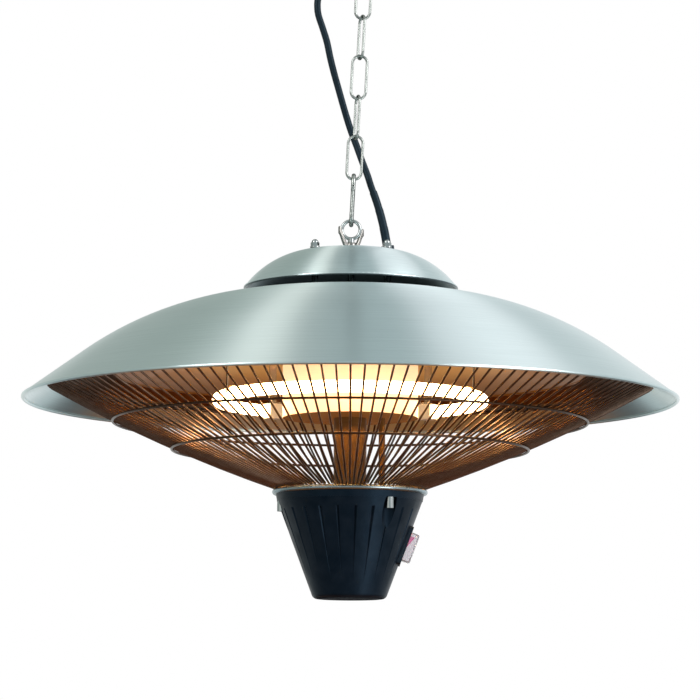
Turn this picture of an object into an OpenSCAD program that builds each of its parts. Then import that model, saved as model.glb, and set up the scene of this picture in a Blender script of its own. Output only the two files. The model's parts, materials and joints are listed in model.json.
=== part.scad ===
// Hanging infrared patio heater on a chain, for Object Factory.
// Millimetres, +Z up. The origin is where the ceiling hook's collar meets the ceiling.
// The photographed side faces -Y. Heater parts are drawn about the shade's rim centre.

/* [Shade] */
// Outside diameter of the shade at its rim
shade_d = 600; // [560:5:660]
// Height of the shade's crown over its rim
shade_h = 97.4; // [88:0.2:110]
// Slope of the shade's straight flank, in degrees
flank_deg = 36; // [33:0.5:39]
// Diameter of the flat crown under the cap
crown_d = 134; // [110:2:150]
// Thickness of the shade's sheet
sheet = 1.2; // [0.8:0.1:2]
// Thickness of the rolled edge along the rim
rim_bead = 3.4; // [2.6:0.2:5]

/* [Cap] */
// Outside diameter of the top cap
cap_d = 197; // [185:1:210]
// Height of the cap's top over the crown
cap_rise = 41.1; // [38:0.1:46]
// Diameter of the cap's flat top
cap_flat_d = 60; // [50:1:70]
// Radius of the cap's rounded shoulder
cap_shoulder = 84; // [78:1:92]
// Thickness of the cap's sheet
cap_sheet = 1.2; // [0.8:0.1:2]
// Thickness of the cap's rolled edge
cap_bead = 2.6; // [2:0.1:4]
// Diameter of the circle through the three cap nuts
nut_circle_d = 76; // [70:1:84]
// Diameter of the three studs
stud_d = 4; // [3:0.5:6]
// Outside diameter of the tubes that space the cap from the shade
spacer_d = 6; // [5.5:0.5:10]
// Width across flats of the domed nuts
nut_flats = 7; // [7:0.5:8]
// Height of a domed nut's hexagon
nut_hex_h = 3.5; // [3:0.5:5]
// Diameter of the washers under the domed nuts
washer_d = 9; // [8.5:0.5:10]
// Thickness of every washer
washer_t = 1.2; // [0.8:0.1:2]

/* [Eye and wing nut] */
// Outside diameter of the eye bolt's ring
eye_d = 20; // [19:0.5:24]
// Thickness of the ring's wire
eye_wire = 3.2; // [2.8:0.1:3.6]
// Height of the ring's centre over the cap
eye_rise = 19.8; // [18.5:0.1:23]
// Diameter of the eye bolt's rod
eye_rod_d = 6; // [5:0.5:7]
// Diameter of the wing nut's hub
wing_hub_d = 11.5; // [10:0.5:13]
// Height of the wing nut's hub
wing_hub_h = 6.4; // [5:0.2:7]
// Span over both wings
wing_span = 30; // [28:0.5:34]
// Thickness of a wing
wing_t = 2; // [1.4:0.1:2.4]
// Turn of the wings out of the ring's plane, in degrees
wing_turn = 40; // [38:1:60]

/* [Chain] */
// Lean of the hanging chain, in degrees
lean = 2.8; // [0:0.1:4]
// Outside length of a link
link_len = 43; // [40:0.5:46]
// Outside width of a link
link_w = 16; // [15:0.5:18]
// Thickness of a link's wire
link_wire = 2.5; // [2:0.1:3]
// Slack left between two wires that hang in each other
play = 0.2; // [0.1:0.05:0.4]
// Turn of the second link out of square, in degrees
turn_2 = 20; // [0:1:22]
// Turn of the fourth link out of square, in degrees
turn_4 = 15; // [0:1:22]
// Outside length of the snap hook
snap_len = 50; // [46:0.5:54]
// Outside width of the snap hook
snap_w = 20; // [18:0.5:24]
// Thickness of the snap hook's wire
snap_wire = 4; // [3.6:0.1:4.4]
// Thickness of the gate
gate_d = 3.2; // [2.8:0.1:3.4]
// Diameter of the gate's rivet
rivet_d = 1.6; // [1.2:0.1:2]
// Height of the rivet over the snap hook's middle
rivet_rise = 11; // [10:0.5:12]
// Height of the nose's end below the snap hook's middle
nose_drop = 12.3; // [11:0.1:14]

/* [Ceiling hook and cord] */
// Depth of the hook's seat below the ceiling
hook_drop = 107; // [104:1:120]
// Thickness of the hook's rod
hook_wire = 5; // [4.4:0.2:5.4]
// Outside diameter of the hook's bend
hook_d = 29; // [27:0.5:32]
// Diameter of the collar against the ceiling
collar_d = 26; // [20:1:32]
// Thickness of the collar
collar_t = 3; // [2:0.5:5]
// Length of the shank above the ceiling
shank_len = 40; // [30:1:50]
// Diameter of the power cord
cord_d = 6.4; // [6:0.1:6.8]
// Diameter of the plug's round body
plug_d = 38; // [36:0.5:42]
// Thickness of the plug's body
plug_t = 20; // [18:0.5:26]
// Diameter of a plug pin
pin_d = 4.8; // [4:0.1:5]
// Length of a plug pin
pin_len = 19; // [17:0.5:21]
// Distance between the two pins
pin_pitch = 19; // [18:0.1:20]
// Outside diameter of the cord's sleeve at its foot
sleeve_d = 8; // [7.6:0.1:10]
// Diameter of the cord gland
gland_d = 13; // [11:0.5:16]
// Height of the cord gland
gland_h = 6; // [4:0.5:9]

/* [Lamp] */
// Diameter of the circle that the lamp tube follows
lamp_circle_d = 242; // [226:1:256]
// Diameter of the quartz tube
lamp_d = 11; // [9:0.5:13]
// Wall of the quartz tube
lamp_wall = 1.2; // [0.8:0.1:2]
// Height of the lamp tube over the rim
lamp_z = 0; // [-3:0.5:4]
// Angle left open at the back of the lamp tube, in degrees
lamp_gap = 82; // [70:1:95]
// Length of a ceramic end cap
end_cap_len = 16; // [12:1:20]
// Side of a square ceramic end cap
end_cap_w = 14; // [13:0.5:16]
// Outside diameter of the reflector
reflector_d = 430; // [400:5:450]
// Height of the reflector's flat over the rim
reflector_z = 61; // [57:0.5:66]
// Height of the reflector's edge over the rim
reflector_edge_z = 24; // [20:0.5:30]
// Thickness of the reflector's sheet
reflector_sheet = 0.8; // [0.6:0.1:1.5]

/* [Hub and post] */
// Outside diameter of the hub drum
hub_d = 124; // [112:1:132]
// Depth of the hub drum's floor below the rim
hub_drop = 16; // [12:0.5:20]
// Wall of the hub drum
hub_wall = 1.2; // [1:0.1:2]
// Diameter of the centre post
post_d = 30; // [26:1:34]
// Wall of the centre post
post_wall = 1.5; // [1:0.1:3]
// Diameter of the lead tube beside the post
lead_tube_d = 6; // [5:0.5:8]

/* [Grille] */
// Number of radial grille wires
wire_count = 132; // [120:1:144]
// Thickness of a radial wire
wire_d = 2; // [1.6:0.1:2.2]
// Bulge of a radial wire below its chord
wire_bow = 4.8; // [3:0.1:7]
// Thickness of the outer ring's wire
ring_wire = 3; // [2.4:0.1:4]
// Height of the outer ring over the rim
ring_z = 14.8; // [12:0.2:18]
// Diameter of the outer hoop
hoop_1_d = 434; // [420:1:450]
// Diameter of the inner hoop
hoop_2_d = 326; // [310:1:340]
// Thickness of a hoop's wire
hoop_wire = 2.2; // [2:0.1:3]
// Depth of the grille collar's top below the rim
grille_drop = 81.8; // [78:0.2:88]
// Diameter of the grille collar
grille_collar_d = 142; // [139:1:150]
// Thickness of the grille collar
grille_collar_t = 4.5; // [3:0.5:6]

/* [Cone housing] */
// Diameter of the housing's flange
flange_d = 135; // [133:0.5:138]
// Height of the housing's flange
flange_h = 6; // [5:0.5:8]
// Diameter of the flange at its lower edge
flange_low_d = 132.8; // [132.4:0.2:134]
// Diameter of the cone just below the flange
cone_top_d = 132; // [129:0.5:134]
// Diameter of the cone's sharp bottom corner
cone_low_d = 66; // [58:1:70]
// Depth of the housing's bottom below the rim
cone_drop = 181; // [176:1:186]
// Radius of the housing's bottom edge
cone_edge = 5; // [2:0.5:6]
// Wall of the housing
cone_wall = 3; // [2:0.5:4]
// Number of grooves round the housing
groove_count = 24; // [20:1:28]
// Depth of a groove at its upper end
groove_depth = 1.6; // [1:0.1:2.4]
// Diameter of a housing screw's head
screw_head_d = 7.6; // [6:0.2:9]
// Height of a housing screw's head
screw_head_h = 10; // [8:0.5:12]
// Diameter of a housing screw's shank
screw_d = 4; // [3:0.5:5]
// Diameter of the circle through the housing screws
screw_circle_d = 125; // [122:0.5:127]
// Diameter of the scoop round a screw head
scoop_d = 13.4; // [12:0.2:15]
// Depth the scoop is sunk into the flange as a seat for the screw head
scoop_seat = 0.5; // [0.4:0.1:1]

/* [Switch] */
// Depth of the switch's middle below the rim
switch_drop = 133; // [130:0.5:138]
// Height of the switch bezel, along the cone
bezel_h = 37; // [34:0.5:40]
// Width of the switch bezel
bezel_w = 30; // [27:0.5:32]
// Height of the bezel's face over the cone
bezel_t = 1.2; // [1:0.1:4]
// Half the height of the rocker
rocker_half = 11; // [10:0.1:12]
// Width of the rocker
rocker_w = 13.6; // [12:0.2:15]
// Travel of the rocker, in degrees
rocker_travel = 22; // [18:0.5:24]
// Diameter of the rocker's trunnions
trunnion_d = 3; // [2:0.1:3.6]
// Height of the clear boot over the bezel's face
boot_h = 7.5; // [7:0.1:9]
// Wall of the clear boot
boot_wall = 1; // [0.8:0.1:1.2]

/* [Hidden] */
$fn = 96;

// Clearances
seat = 0.1;
loose = 0.3;
turning = 0.05;

// Shade section: a flat crown, one arc and a straight flank that the arc meets smoothly
shade_r = shade_d / 2;
crown_r = crown_d / 2;
dome_r = ((shade_r - crown_r) * tan(flank_deg) - shade_h) * cos(flank_deg) / (1 - cos(flank_deg));
dome_z = shade_h - dome_r;
function wall_r(z) = shade_r - sheet / sin(flank_deg) - z / tan(flank_deg);

// Cap section
cap_z = shade_h + cap_rise;
cap_flat_r = cap_flat_d / 2;
cap_edge_deg = asin((cap_d / 2 - cap_bead / 2 - cap_flat_r) / (cap_shoulder - cap_sheet / 2));
nut_r = nut_circle_d / 2;
nut_dome_d = nut_flats - 0.6;
nut_tip = 0.15;
spacer_sag = cap_shoulder - sqrt(pow(cap_shoulder, 2) - pow(max(nut_r + spacer_d / 2 - cap_flat_r, 0), 2));
cap_under = cap_z - cap_sheet - spacer_sag;
nut_turns = [-60, 60, 180];
washer_z = cap_z + seat;

// Eye bolt
eye_z = cap_z + eye_rise;
rod_end_z = reflector_z - 12;
wing_z = washer_z + washer_t + seat;
ear_d = 8.8;
ear_z = eye_z - 1.9;

// Chain, measured down from the hook's seat along the leaning chain
half_link = (link_len - link_wire) / 2;
pitch = link_len - 2 * link_wire - play;
link_top = hook_wire / 2 + link_wire / 2 + play;
function link_at(n) = link_top - half_link - pitch * (n - 1);
snap_half = (snap_len - snap_wire) / 2;
snap_top = link_at(5) - half_link + snap_wire / 2 + link_wire / 2 + play;
snap_at = snap_top - snap_half;
snap_low = snap_top - 2 * snap_half;
snap_leg = snap_len - snap_w;
snap_side = (snap_w - snap_wire) / 2;
heater_x = snap_low * sin(lean);
heater_z = -hook_drop + snap_low * cos(lean) - eye_z - eye_d / 2 + eye_wire + play + snap_wire / 2;

// Grille arc, in the plane of one wire
ring_r = wall_r(ring_z) - (ring_wire / 2 + loose) / sin(flank_deg);
foot_r = grille_collar_d / 2 - 3.5;
foot_z = -grille_drop + loose + wire_d / 2;
ring_gap = wire_d / 2 + ring_wire / 2 + seat;
hoop_gap = wire_d / 2 + hoop_wire / 2 + seat;
chord_0 = norm([ring_r - foot_r, ring_z - foot_z]);
bow_r = pow(chord_0, 2) / (8 * wire_bow) + wire_bow / 2;
slope = atan2(ring_z - foot_z, ring_r - foot_r) + asin(chord_0 / (2 * bow_r));
tip_r = ring_r + ring_gap * sin(slope);
tip_z = ring_z - ring_gap * cos(slope);
chord = norm([tip_r - foot_r, tip_z - foot_z]);
chord_deg = atan2(tip_z - foot_z, tip_r - foot_r);
bow_half = asin(chord / (2 * bow_r));
bow_x = (tip_r + foot_r) / 2 - bow_r * cos(bow_half) * sin(chord_deg);
bow_z = (tip_z + foot_z) / 2 + bow_r * cos(bow_half) * cos(chord_deg);
tip_extra = 0.06;
function wire_line(r, gap) = bow_z - sqrt(pow(bow_r - gap, 2) - pow(r - bow_x, 2));

// Cone housing
collar_low = -grille_drop - grille_collar_t;
flange_low = collar_low - flange_h;
head_seat = flange_low + scoop_seat;
head_top = head_seat - seat;
scoop_len = 45;
cone_deg = atan((cone_top_d - cone_low_d) / 2 / (cone_drop + flange_low));
function cone_r(z) = cone_low_d / 2 + (z + cone_drop) * tan(cone_deg);
edge_z = -cone_drop + cone_edge;
edge_r = cone_r(edge_z) - cone_edge / cos(cone_deg);
cavity_r = screw_circle_d / 2 - scoop_d / 2 - cone_wall;
cavity_low = -cone_drop + cone_wall;
screw_turns = [-85.35, 34.65, 154.65];

// Switch, drawn with +X out of the cone and +Z up along it
switch_r = cone_r(-switch_drop);
pivot_depth = 3;
pivot_x = bezel_t - pivot_depth;
rocker_deg = rocker_travel / 2;
well_h = rocker_half + 1.4;
well_w = rocker_w / 2 + loose;
body_h = well_h + 1;
body_w = well_w + 1.5;
body_back = 20;

// Reflector and hub
hub_r = hub_d / 2;
reflector_r = reflector_d / 2;
lamp_r = lamp_circle_d / 2;
reflector_deg = atan((reflector_z - reflector_edge_z) / (reflector_r - hub_r));
function reflector_under(r) = reflector_z - (r - hub_r) * tan(reflector_deg)
  - reflector_sheet / cos(reflector_deg);
hub_top = reflector_z - reflector_sheet / cos(reflector_deg) - seat;
gland_x = 34;
gland_y = 10;
lead_x = 29;

// Cord coil: half of the turns in each of two layers, wound in and then out again
turns = 6.5;
coil_out = 48.4;
coil_pitch = 7;
coil_layer = 6.9;
coil_x = -10;
coil_y = -37;
coil_z = -58;
climb_from = 3;
climb_to = 3.5;
coil_lead = 6.4;
coil_tail = 15;
function coil_r(t) = coil_out - coil_pitch * min(t, turns - t);
function coil_side(t) = coil_x + coil_layer * (min(max((t - climb_from) / (climb_to - climb_from), 0), 1) - 0.5);
function coil_point(t) = [
  coil_side(t), coil_y + coil_r(t) * cos(360 * t), coil_z + coil_r(t) * sin(360 * t)
];
coil_steps = 24;
coil_ts = [for (i = [0:coil_steps * turns]) i / coil_steps];
coil_mid = [for (t = coil_ts) coil_point(t)];
coil_start = coil_mid[0] - [0, 0, coil_lead];
coil_end = coil_mid[len(coil_mid) - 1] - [0, 0, coil_tail];
coil_path = concat([coil_start], coil_mid, [coil_end]);
coil_gap = min([
  for (i = [0:len(coil_mid) - 1]) for (j = [i + 12:1:len(coil_mid) - 1])
    norm(coil_mid[i] - coil_mid[j])
]) - cord_d;

// Sleeve: one arc that leaves the gland at sleeve_low_deg and ends at sleeve_top_deg
sleeve_low_deg = 8;
sleeve_top_deg = 20.5;
sleeve_bend = 240;
gland_foot = cap_z + seat;
sleeve_foot = [gland_x - gland_h * sin(sleeve_low_deg), gland_foot + gland_h * cos(sleeve_low_deg)];
sleeve_end = [
  sleeve_foot[0] - sleeve_bend * (cos(sleeve_low_deg) - cos(sleeve_top_deg)),
  sleeve_foot[1] + sleeve_bend * (sin(sleeve_top_deg) - sin(sleeve_low_deg))
];
cord_from = [heater_x + sleeve_end[0], gland_y, heater_z + sleeve_end[1]];
cord_way = [-sin(sleeve_top_deg), 0, cos(sleeve_top_deg)];

// Route of the cord's free stretch, chosen by hand
route = concat(
  [cord_from, cord_from + cord_d * cord_way],
  [
    [3.5, 11.5, -288], [-1.5, 12.8, -274.5], [-6.5, 14, -260], [-11.5, 14.5, -246.5],
    [-16, 14.5, -232.5], [-20, 14.5, -219], [-24, 14, -205], [-28, 13.5, -191],
    [-31.5, 13, -177], [-34.5, 12.5, -163], [-38.5, 12, -150], [-42.5, 11.5, -138],
    [-43.5, 11.4, -131], [-43.4, 11.4, -124], [-41.6, 11.4, -117], [-38.4, 11.4, -110.5],
    [-33.9, 11.4, -104.6], [-28.5, 11.4, -100], [-23.2, 11.4, -95.6], [-18.6, 11.4, -89.8],
    [-15.4, 11.4, -83.2], [-13.7, 11.4, -76.5]
  ],
  [coil_start - [0, 0, cord_d], coil_start]
);

// Tube through a list of points; the rings lie square to the way between their neighbours
function unit(v) = v / norm(v);
function way(p, i) = unit(p[min(i + 1, len(p) - 1)] - p[max(i - 1, 0)]);
function ring_of(p, i, across, r, sides) =
  let (t = way(p, i), u = unit(cross(across, t)), v = cross(t, u))
  [for (k = [0:sides - 1]) p[i] + r * (cos(360 * k / sides) * u + sin(360 * k / sides) * v)];
module tube(p, across, d, sides) {
  last = len(p) - 1;
  points = [for (i = [0:last]) each ring_of(p, i, across, d / 2, sides)];
  walls = [
    for (i = [0:last - 1]) for (k = [0:sides - 1]) each [
      [i * sides + k, (i + 1) * sides + k, i * sides + (k + 1) % sides],
      [(i + 1) * sides + k, (i + 1) * sides + (k + 1) % sides, i * sides + (k + 1) % sides]
    ]
  ];
  foot = [for (k = [0:sides - 1]) k];
  head = [for (k = [sides - 1:-1:0]) last * sides + k];
  polyhedron(points = points, faces = concat(walls, [foot, head]));
}

// Places
module on_heater() {
  translate([heater_x, 0, heater_z])
    children();
}
module on_chain(t) {
  translate([0, 0, -hook_drop])
    rotate([0, lean, 0])
      translate([0, 0, t])
        children();
}
module on_cap(turn) {
  rotate([0, 0, turn])
    translate([0, -nut_r, 0])
      children();
}
module on_switch() {
  translate([switch_r, 0, -switch_drop])
    rotate([0, cone_deg, 0])
      children();
}

// Shared shapes
module bend(r, d, from, sweep) {
  rotate([0, 0, from])
    rotate_extrude(angle = sweep)
      translate([r, 0])
        circle(d = d);
}
module upright() {
  rotate([90, 0, 0])
    children();
}
module facing_x() {
  rotate([90, 0, 90])
    children();
}
module rod(d, low, high) {
  translate([0, 0, low])
    cylinder(d = d, h = high - low);
}
module pipe(d, bore, low, high) {
  difference() {
    rod(d, low, high);
    rod(bore, low - 1, high + 1);
  }
}
module hexagon(flats, low, high) {
  translate([0, 0, low])
    cylinder(d = flats / cos(30), h = high - low, $fn = 6);
}
module hoop(r, z, d) {
  translate([0, 0, z])
    rotate_extrude()
      translate([r, 0])
        circle(d = d);
}
module oval(len, w, wire) {
  side = (w - wire) / 2;
  leg = len - w;
  for (s = [-1, 1]) {
    translate([s * side, 0, 0])
      rod(wire, -leg / 2, leg / 2);
    rotate([0, 90 - 90 * s, 0])
      translate([0, 0, leg / 2])
        upright()
          bend(side, wire, 0, 180);
  }
}

// Ceiling hook: collar, shank, a neck stepped to one side and an open bend
module ceiling_hook() {
  r = (hook_d - hook_wire) / 2;
  c = -hook_drop + r;
  rise = 6;
  neck = r / 2;
  color("silver") {
    rod(hook_wire, c + rise + 2 * neck, shank_len);
    rod(collar_d, -collar_t, 0);
    translate([0, -neck, c + rise + 2 * neck])
      facing_x()
        bend(neck, hook_wire, -90, 90);
    translate([0, -neck, c + rise])
      facing_x()
        bend(neck, hook_wire, 90, 90);
    translate([0, -r, c])
      rod(hook_wire, 0, rise);
    translate([0, 0, c])
      facing_x()
        bend(r, hook_wire, 180, 200);
  }
}

module tie_outline(grow) {
  x_low = coil_x - coil_layer / 2 - cord_d / 2 - loose;
  x_high = hook_wire / 2 + loose;
  y_low = coil_y + coil_r(climb_from) - cord_d / 2 - loose;
  y_high = coil_y + coil_out + cord_d / 2 + loose;
  r = cord_d / 2 + loose + grow;
  translate([x_low - grow + r, y_low - grow])
    square([x_high - x_low + 2 * grow - 2 * r, y_high - y_low + 2 * grow]);
  translate([x_low - grow, y_low - grow + r])
    square([x_high - x_low + 2 * grow, y_high - y_low + 2 * grow - 2 * r]);
  for (x = [x_low - grow + r, x_high + grow - r], y = [y_low - grow + r, y_high + grow - r]) {
    translate([x, y])
      circle(r = r);
  }
}
module cord_tie() {
  band = 1.2;
  width = 4.8;
  color("dimgray")
    translate([0, 0, coil_z - width / 2])
      linear_extrude(width)
        difference() {
          tie_outline(band);
          tie_outline(0);
        }
}

module cord_coil() {
  color("black")
    tube(coil_path, [1, 0, 0], cord_d, 6);
}
module power_cord() {
  color("black")
    tube(route, [0, 1, 0], cord_d, 8);
}

// Angled mains plug that hangs from the coil's end
neck_h = 20;
neck_w = 15;
plug_y = coil_end[1] - 2;
plug_z = coil_end[2] - neck_h - plug_d / 2 + 2;
module plug_body() {
  color("black") {
    translate([coil_end[0], coil_end[1], coil_end[2] - neck_h])
      cylinder(d1 = neck_w, d2 = cord_d + 2.4, h = neck_h);
    difference() {
      translate([coil_end[0], plug_y + plug_t / 2, plug_z])
        upright()
          cylinder(d = plug_d, h = plug_t);
      for (s = [-1, 1]) {
        translate([coil_end[0] + s * plug_d / 2 - 2, plug_y - plug_t / 2 - 1, plug_z - 2.5])
          cube([4, plug_t - 4, 5]);
      }
    }
  }
}
module plug_pins() {
  color("silver")
    for (s = [-1, 1]) {
      translate([coil_end[0] + s * pin_pitch / 2, plug_y - plug_t / 2, plug_z])
        upright()
          rod(pin_d, 0, pin_len);
    }
}

// Chain
module link(n, turn) {
  color("silver")
    on_chain(link_at(n))
      rotate([0, 0, turn])
        oval(link_len, link_w, link_wire);
}
module link_1() {
  link(1, 0);
}
module link_2() {
  link(2, 90 + turn_2);
}
module link_3() {
  link(3, 0);
}
module link_4() {
  link(4, 90 + turn_4);
}
module link_5() {
  link(5, 0);
}

// Spring snap hook, its gate on the photographed side
tongue_t = 1.5;
tongue_w = 3;
stub_drop = 3;
gate_drop = 3.8;
module snap_hook() {
  color("silver")
    on_chain(snap_at)
      difference() {
        union() {
          translate([0, snap_side, 0])
            rod(snap_wire, -snap_leg / 2, snap_leg / 2);
          translate([0, -snap_side, 0])
            rod(snap_wire, rivet_rise - stub_drop, snap_leg / 2);
          translate([0, -snap_side, 0])
            rod(snap_wire, -snap_leg / 2, -nose_drop);
          translate([0, 0, snap_leg / 2])
            facing_x()
              bend(snap_side, snap_wire, 0, 180);
          translate([0, 0, -snap_leg / 2])
            facing_x()
              bend(snap_side, snap_wire, 180, 180);
        }
        translate([-tongue_t / 2 - seat, -snap_side - snap_wire, rivet_rise - stub_drop - 1])
          cube([tongue_t + 2 * seat, 2 * snap_wire, stub_drop + 1 + tongue_w / 2 + loose]);
        translate([-snap_wire, -snap_side, rivet_rise])
          rotate([0, 90, 0])
            cylinder(d = rivet_d, h = 2 * snap_wire);
      }
}
module gate_rivet() {
  color("gray")
    on_chain(snap_at)
      translate([-snap_wire / 2, -snap_side, rivet_rise])
        rotate([0, 90, 0])
          cylinder(d = rivet_d, h = snap_wire);
}
module snap_gate() {
  color("gainsboro")
    on_chain(snap_at)
      translate([0, -snap_side, 0])
        difference() {
          union() {
            rod(gate_d, -nose_drop + loose, rivet_rise - gate_drop);
            translate([-tongue_t / 2, -tongue_w / 2, rivet_rise - gate_drop - 1])
              cube([tongue_t, tongue_w, gate_drop + 1]);
            translate([-tongue_t / 2, 0, rivet_rise])
              rotate([0, 90, 0])
                cylinder(d = tongue_w, h = tongue_t);
          }
          translate([-snap_wire, 0, rivet_rise])
            rotate([0, 90, 0])
              cylinder(d = rivet_d + 2 * turning, h = 2 * snap_wire);
        }
}

// Eye bolt and its nuts
module eye_bolt() {
  color("silver")
    on_heater() {
      translate([0, 0, eye_z])
        upright()
          rotate_extrude()
            translate([(eye_d - eye_wire) / 2, 0])
              circle(d = eye_wire);
      rod(eye_rod_d, rod_end_z, eye_z - (eye_d - eye_wire) / 2);
    }
}
module wing_nut() {
  wing_top = wing_z + wing_hub_h;
  ear_at = wing_span / 2 - ear_d / 2;
  color("silver")
    on_heater()
      rotate([0, 0, wing_turn]) {
        difference() {
          union() {
            rod(wing_hub_d, wing_z, wing_top);
            translate([0, wing_t / 2, 0])
              upright()
                linear_extrude(wing_t)
                  for (s = [-1, 1]) {
                    polygon([
                      [s * (wing_hub_d / 2 - 2), wing_z + 0.8], [s * (wing_hub_d / 2 - 0.4), wing_z + 0.8],
                      [s * (ear_at + ear_d / 2), ear_z], [s * (ear_at - ear_d / 2), ear_z],
                      [s * (wing_hub_d / 2 - 0.6), wing_top], [s * (wing_hub_d / 2 - 2), wing_top - 0.4]
                    ]);
                    translate([s * ear_at, ear_z])
                      circle(d = ear_d);
                  }
          }
          rod(eye_rod_d + 2 * seat, wing_z - 1, wing_top + 1);
        }
      }
}
module eye_washer() {
  color("silver")
    on_heater()
      pipe(washer_d + 4, eye_rod_d + 2 * seat, washer_z, washer_z + washer_t);
}
module eye_lock_nut() {
  top = hub_top - hub_wall - seat;
  color("silver")
    on_heater()
      difference() {
        hexagon(10, top - 5, top);
        rod(eye_rod_d + 2 * seat, top - 6, top + 1);
      }
}

// Cap, its nuts, studs and spacers
module cap_section() {
  translate([0, cap_z - cap_sheet])
    square([cap_flat_r, cap_sheet]);
  intersection() {
    translate([cap_flat_r, cap_z - cap_shoulder])
      difference() {
        circle(r = cap_shoulder);
        circle(r = cap_shoulder - cap_sheet);
      }
    polygon([
      [cap_flat_r, cap_z - cap_shoulder], [cap_flat_r, cap_z + cap_shoulder],
      [cap_flat_r + 2 * cap_shoulder * tan(cap_edge_deg), cap_z + cap_shoulder]
    ]);
  }
  translate([
    cap_flat_r + (cap_shoulder - cap_sheet / 2) * sin(cap_edge_deg),
    cap_z - cap_shoulder + (cap_shoulder - cap_sheet / 2) * cos(cap_edge_deg)
  ])
    circle(d = cap_bead);
}
module top_cap() {
  color("lightsteelblue")
    on_heater()
      difference() {
        rotate_extrude()
          cap_section();
        rod(eye_rod_d + 2 * loose, cap_z - 5, cap_z + 5);
        for (a = nut_turns) {
          on_cap(a)
            rod(stud_d + 2 * seat, cap_z - 10, cap_z + 5);
        }
        translate([gland_x, gland_y, 0])
          rod(cord_d + 2 * loose, cap_z - 10, cap_z + 5);
      }
}
module cap_nuts() {
  low = washer_z + washer_t + seat;
  color("silver")
    on_heater()
      for (a = nut_turns) {
        on_cap(a)
          difference() {
            union() {
              hexagon(nut_flats, low, low + nut_hex_h);
              translate([0, 0, low + nut_hex_h])
                intersection() {
                  sphere(d = nut_dome_d);
                  rod(nut_flats, -1, nut_dome_d / 2 - nut_tip);
                }
            }
            rod(stud_d + 2 * seat, low - 1, low + nut_hex_h);
          }
      }
}
module cap_washers() {
  color("silver")
    on_heater()
      for (a = nut_turns) {
        on_cap(a)
          pipe(washer_d, stud_d + 2 * seat, washer_z, washer_z + washer_t);
      }
}
module cap_studs() {
  color("silver")
    on_heater()
      for (a = nut_turns) {
        on_cap(a)
          rod(stud_d, reflector_z - 9, washer_z + washer_t + nut_hex_h);
      }
}
module cap_spacers() {
  color("silver")
    on_heater()
      for (a = nut_turns) {
        on_cap(a)
          pipe(spacer_d, stud_d + 2 * seat, shade_h + seat, cap_under - loose);
      }
}

// Shade
dome_steps = 18;
function dome_arc(inset) = [
  for (i = [0:dome_steps]) let (a = flank_deg * i / dome_steps)
    [crown_r + (dome_r - inset) * sin(a), dome_z + (dome_r - inset) * cos(a)]
];
bead_steps = 12;
bead_arc = [
  for (i = [0:bead_steps]) let (a = 30 - 240 * i / bead_steps)
    [shade_r - rim_bead / 2 + rim_bead / 2 * cos(a), rim_bead / 2 * sin(a)]
];
module shade_section() {
  foot = rim_bead / 4;
  inner = dome_arc(sheet);
  polygon(concat(
    [[0, shade_h]],
    dome_arc(0),
    [[shade_r - foot / tan(flank_deg), foot]],
    bead_arc,
    [for (i = [dome_steps:-1:0]) inner[i]],
    [[0, shade_h - sheet]]
  ));
}
module shade() {
  color("lightsteelblue")
    on_heater()
      difference() {
        rotate_extrude()
          shade_section();
        rod(eye_rod_d + 2 * loose, shade_h - 5, shade_h + 5);
        for (a = nut_turns) {
          on_cap(a)
            rod(stud_d + 2 * seat, shade_h - 5, shade_h + 5);
        }
        translate([gland_x, gland_y, 0])
          rod(cord_d + 2 * loose, shade_h - 5, shade_h + 5);
      }
}
module liner_spacers() {
  color("silver")
    on_heater()
      for (a = nut_turns) {
        on_cap(a)
          pipe(spacer_d + 4, stud_d + 2 * seat, reflector_z + seat, shade_h - sheet - seat);
      }
}

// Reflector and the hub drum under it
module reflector() {
  t = reflector_sheet;
  drop = t / cos(reflector_deg);
  color("gold")
    on_heater()
      difference() {
        rotate_extrude() {
          polygon([
            [0, reflector_z - t], [hub_r, reflector_z - drop],
            [reflector_r, reflector_edge_z - drop], [reflector_r, reflector_edge_z],
            [hub_r, reflector_z], [0, reflector_z]
          ]);
          translate([reflector_r, reflector_edge_z - drop / 2])
            circle(d = 2.4);
        }
        rod(eye_rod_d + 2 * loose, reflector_z - 5, reflector_z + 5);
        for (a = nut_turns) {
          on_cap(a)
            rod(stud_d + 2 * seat, reflector_z - 5, reflector_z + 5);
        }
        translate([gland_x, gland_y, 0])
          rod(cord_d + 2 * loose, reflector_z - 5, reflector_z + 5);
      }
}
module hub_drum() {
  color("darkgoldenrod")
    on_heater()
      difference() {
        rod(hub_d, -hub_drop, hub_top);
        rod(hub_d - 2 * hub_wall, -hub_drop + hub_wall, hub_top - hub_wall);
        rod(eye_rod_d + 2 * loose, hub_top - 5, hub_top + 5);
        for (a = nut_turns) {
          on_cap(a)
            rod(stud_d + 2 * seat, hub_top - 5, hub_top + 5);
        }
        translate([gland_x, gland_y, 0])
          rod(cord_d + 2 * loose, hub_top - 5, hub_top + 5);
        translate([lead_x, 0, 0])
          rod(lead_tube_d + 2 * seat, -hub_drop - 5, -hub_drop + 5);
      }
}
module terminal_block() {
  top = hub_top - hub_wall - seat;
  color("ivory")
    on_heater()
      translate([gland_x - 12, gland_y + 6, top - 12])
        cube([24, 16, 12]);
}
module inner_lead() {
  color("black")
    on_heater()
      translate([gland_x, gland_y, 0])
        rod(cord_d, hub_top - 8, cap_under - 2);
}
module centre_post() {
  color("goldenrod")
    on_heater()
      pipe(post_d, post_d - 2 * post_wall, -grille_drop + seat, -hub_drop - seat);
}
module lead_tube() {
  color("goldenrod")
    on_heater()
      translate([lead_x, 0, 0])
        rod(lead_tube_d, -grille_drop + seat, -hub_drop + 6);
}

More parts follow.
